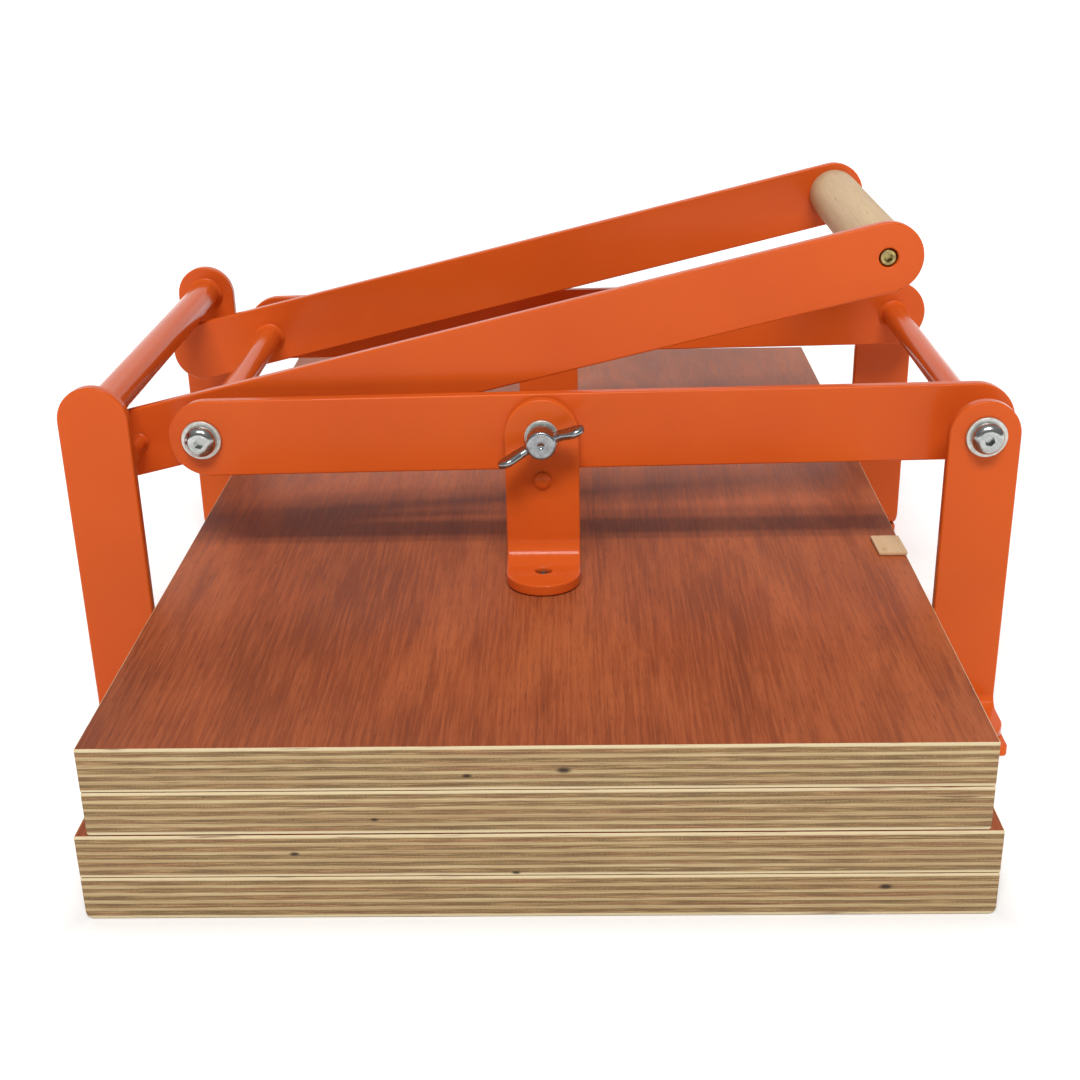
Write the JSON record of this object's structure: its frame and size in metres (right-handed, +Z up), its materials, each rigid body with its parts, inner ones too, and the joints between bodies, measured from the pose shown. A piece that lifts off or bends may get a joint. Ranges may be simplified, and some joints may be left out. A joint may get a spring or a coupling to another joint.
{
  "type": "bookbinding press",
  "caption": "Tabletop press with thick plywood boards and a steel lever linkage that raises and presses the upper board through a wooden hand bar.",
  "frame": {"origin": "on the ground under the middle of the base board", "axes": "+Z up; +X from the lever's fulcrum uprights towards the handle; +Y to the back, along the boards' long side"},
  "size_m": [0.4042, 0.5, 0.2188],
  "materials": {
    "orange_paint": "smooth orange powder coat, satin gloss",
    "plywood": "reddish brown face veneer with pale and brown ply edges, unvarnished",
    "beech": "pale bare wood",
    "zinc": "bright zinc plate",
    "brass": "dull brass"
  },
  "bodies": {
    "base": {"base_lower_sheet": "plywood", "base_upper_sheet": "plywood", "cross_strap_front": "orange_paint", "cross_strap_rear": "orange_paint", "foot_screw_left_front": "zinc", "foot_screw_left_rear": "zinc", "foot_screw_right_front": "zinc", "foot_screw_right_rear": "zinc", "fulcrum_bush_front": "orange_paint", "fulcrum_bush_rear": "orange_paint", "left_brace_rod": "orange_paint", "strap_screw_left_front": "zinc", "strap_screw_left_rear": "zinc", "strap_screw_right_front": "zinc", "strap_screw_right_rear": "zinc", "upright_left_front": "orange_paint", "upright_left_rear": "orange_paint", "upright_right_front": "orange_paint", "upright_right_rear": "orange_paint"},
    "lever": {"fulcrum_pin_front": "orange_paint", "fulcrum_pin_rear": "orange_paint", "handle_dowel": "beech", "handle_screw_front": "brass", "handle_screw_rear": "brass", "left_bolt_front": "zinc", "left_bolt_rear": "zinc", "left_spacer_front": "orange_paint", "left_spacer_rear": "orange_paint", "left_washer_front": "zinc", "left_washer_rear": "zinc", "lever_arm_front": "orange_paint", "lever_arm_rear": "orange_paint", "lever_pivot_rod": "orange_paint"},
    "pressure_bars": {"clamp_stud_front": "zinc", "clamp_stud_rear": "zinc", "clamp_washer_front": "zinc", "clamp_washer_rear": "zinc", "pressure_bar_front": "orange_paint", "pressure_bar_rear": "orange_paint", "right_bolt_front": "zinc", "right_bolt_rear": "zinc", "right_pivot_rod": "orange_paint", "right_spacer_front": "orange_paint", "right_spacer_rear": "orange_paint", "right_washer_front": "zinc", "right_washer_rear": "zinc"},
    "platen": {"bracket_screw_front": "zinc", "bracket_screw_rear": "zinc", "bracket_stub_front": "orange_paint", "bracket_stub_rear": "orange_paint", "edge_tab": "beech", "platen_bracket_front": "orange_paint", "platen_bracket_rear": "orange_paint", "platen_lower_sheet": "plywood", "platen_upper_sheet": "plywood"},
    "wing_nut_front": {"wing_nut_front": "zinc"},
    "wing_nut_rear": {"wing_nut_rear": "zinc"}
  },
  "joints": [
    {"name": "lever_lift", "type": "hinge", "parent": "base", "child": "lever", "pos_m": [-0.1775, 0, 0.1267], "axis": [0, -1, 0], "range_deg": [0, 20]},
    {"name": "pressure_bar_swing", "type": "hinge", "parent": "base", "child": "pressure_bars", "pos_m": [0.1862, 0, 0.1367], "axis": [0, 1, 0], "range_deg": [0, 1.85]},
    {"name": "platen_swivel", "type": "hinge", "parent": "pressure_bars", "child": "platen", "pos_m": [0.0014, 0, 0.1348], "axis": [0, -1, 0], "range_deg": [0, 1.85]},
    {"name": "wing_nut_front_spin", "type": "hinge", "parent": "pressure_bars", "child": "wing_nut_front", "pos_m": [0.0014, 0, 0.1348], "axis": [0, -1, 0], "continuous": true},
    {"name": "wing_nut_rear_spin", "type": "hinge", "parent": "pressure_bars", "child": "wing_nut_rear", "pos_m": [0.0014, 0, 0.1348], "axis": [0, 1, 0], "continuous": true}
  ],
  "couplings": [
    {"joint": "pressure_bar_swing", "follows": "lever_lift", "ratio": 0.092},
    {"joint": "platen_swivel", "follows": "lever_lift", "ratio": 0.092}
  ]
}
